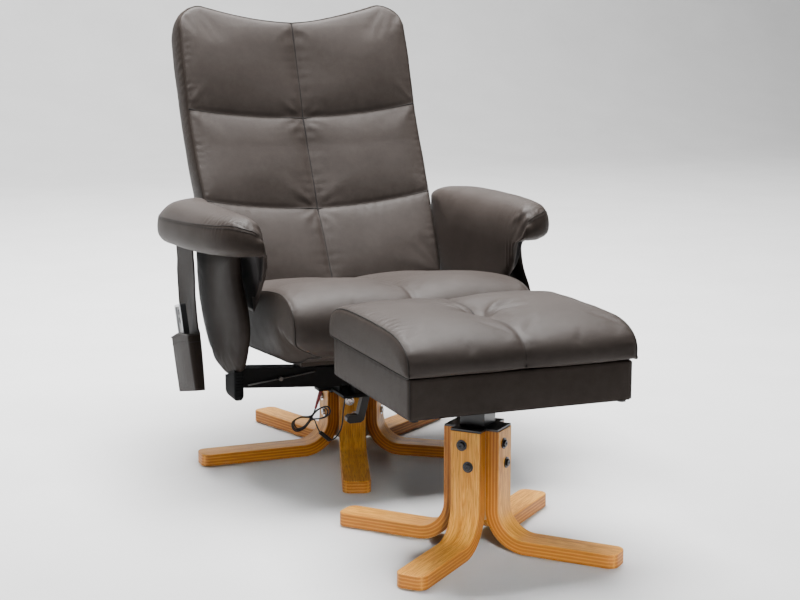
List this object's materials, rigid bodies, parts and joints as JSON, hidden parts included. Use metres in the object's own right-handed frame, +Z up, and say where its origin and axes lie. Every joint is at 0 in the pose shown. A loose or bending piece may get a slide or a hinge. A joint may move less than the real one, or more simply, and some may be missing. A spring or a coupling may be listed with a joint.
{
  "type": "massage recliner with footstool",
  "caption": "Swivel recliner in channelled dark taupe leather on a bent-plywood star base, with side pocket, remote and a matching storage footstool with a hinged padded lid.",
  "frame": {"origin": "on the floor, under the middle of the box around chair and footstool together", "axes": "+Z up; the chair faces -Y, towards its footstool; +X to the right of a viewer who faces the chair"},
  "size_m": [0.7964, 1.4512, 0.9959],
  "materials": {
    "leather": "soft dark taupe-brown synthetic leather, fine pebble grain, satin",
    "oak_ply": "honey-stained bent plywood, satin varnish",
    "board_wood": "raw plywood board",
    "black_steel": "black powder coat",
    "zinc_steel": "bright zinc plate",
    "black_plastic": "moulded black plastic",
    "grey_plastic": "dark grey moulded plastic",
    "silver_plastic": "silver lacquered plastic",
    "button_plastic": "grey rubberised plastic",
    "glide_rubber": "black felt-faced rubber",
    "cord_black": "black PVC cord",
    "cord_red": "red moulded sleeve"
  },
  "bodies": {
    "chair_base": {"hub_column": "black_steel", "hub_cap_plate": "black_steel", "base_leg_front": "oak_ply", "base_leg_front_right": "oak_ply", "base_leg_rear_right": "oak_ply", "base_leg_rear_left": "oak_ply", "base_leg_front_left": "oak_ply", "base_bolts": "zinc_steel", "base_glides": "glide_rubber", "swivel_bearing_ring": "zinc_steel"},
    "chair_frame": {"swivel_spindle": "zinc_steel", "mechanism_plate": "black_steel", "cross_bar": "black_steel", "mechanism_bolts": "zinc_steel", "mechanism_side_plates": "black_steel", "recline_pins": "zinc_steel", "glide_rails": "black_steel", "control_box": "black_plastic", "arm_uprights": "black_steel", "post_caps": "grey_plastic", "arm_post_left": "leather", "arm_post_right": "leather", "arm_pad_left": "leather", "arm_pad_right": "leather", "arm_aprons": "leather", "pocket_panel": "leather", "pocket_pouch": "leather", "lever_pivot": "black_steel", "lock_cable": "zinc_steel", "cord_sleeve": "cord_red", "cord_wire": "cord_black", "cord_hank": "cord_black", "cord_connector": "cord_black", "cord_return": "cord_black"},
    "seat": {"seat_cushion": "leather", "seat_board": "board_wood", "seat_motors": "black_plastic", "seat_runners": "black_steel"},
    "backrest": {"back_cushion": "leather", "back_board": "board_wood", "back_motors": "black_plastic"},
    "lock_lever": {"lock_lever": "black_plastic"},
    "remote": {"remote_body": "black_plastic", "remote_bezel": "silver_plastic"},
    "button_mode": {"remote_button_mode": "button_plastic"},
    "button_power": {"remote_button_power": "button_plastic"},
    "footstool": {"stool_hub": "black_steel", "stool_post": "black_steel", "stool_cap_plate": "black_steel", "stool_leg_front_left": "oak_ply", "stool_leg_front_right": "oak_ply", "stool_leg_rear_right": "oak_ply", "stool_leg_rear_left": "oak_ply", "stool_bolts": "black_steel", "stool_glides": "glide_rubber", "stool_box": "leather", "stool_box_feet": "black_plastic", "stool_hinge": "black_steel"},
    "stool_lid": {"stool_lid_cushion": "leather", "stool_lid_board": "board_wood"}
  },
  "joints": [
    {"name": "swivel", "type": "hinge", "parent": "chair_base", "child": "chair_frame", "pos_m": [0.004, 0.222, 0.16], "axis": [0, 0, 1], "continuous": true},
    {"name": "recline", "type": "hinge", "parent": "chair_frame", "child": "backrest", "pos_m": [0.004, 0.372, 0.3], "axis": [-1, 0, 0], "range_deg": [0, 32]},
    {"name": "seat_glide", "type": "slide", "parent": "chair_frame", "child": "seat", "axis": [0, -1, 0], "range_m": [0, 0.03]},
    {"name": "lever_pull", "type": "hinge", "parent": "chair_frame", "child": "lock_lever", "pos_m": [-0.006, 0.104, 0.158], "axis": [0, 1, 0], "range_deg": [0, 25], "stiffness_Nm_per_rad": 0.8},
    {"name": "remote_lift", "type": "slide", "parent": "chair_frame", "child": "remote", "axis": [-0.066, 0.2245, 0.9722], "range_m": [0, 0.1]},
    {"name": "mode_press", "type": "slide", "parent": "remote", "child": "button_mode", "axis": [0.9978, 0.0148, 0.0643], "range_m": [0, 0.0008], "stiffness_N_per_m": 60},
    {"name": "power_press", "type": "slide", "parent": "remote", "child": "button_power", "axis": [0.9978, 0.0148, 0.0643], "range_m": [0, 0.0008], "stiffness_N_per_m": 60},
    {"name": "footstool_move", "type": "slide", "parent": "chair_base", "child": "footstool", "axis": [0, -1, 0], "range_m": [0, 0.4]},
    {"name": "lid_open", "type": "hinge", "parent": "footstool", "child": "stool_lid", "pos_m": [0.2173, -0.498, 0.377], "axis": [0, 1, 0], "range_deg": [0, 95]}
  ],
  "couplings": [
    {"joint": "seat_glide", "follows": "recline", "m_per_rad": 0.051924}
  ]
}
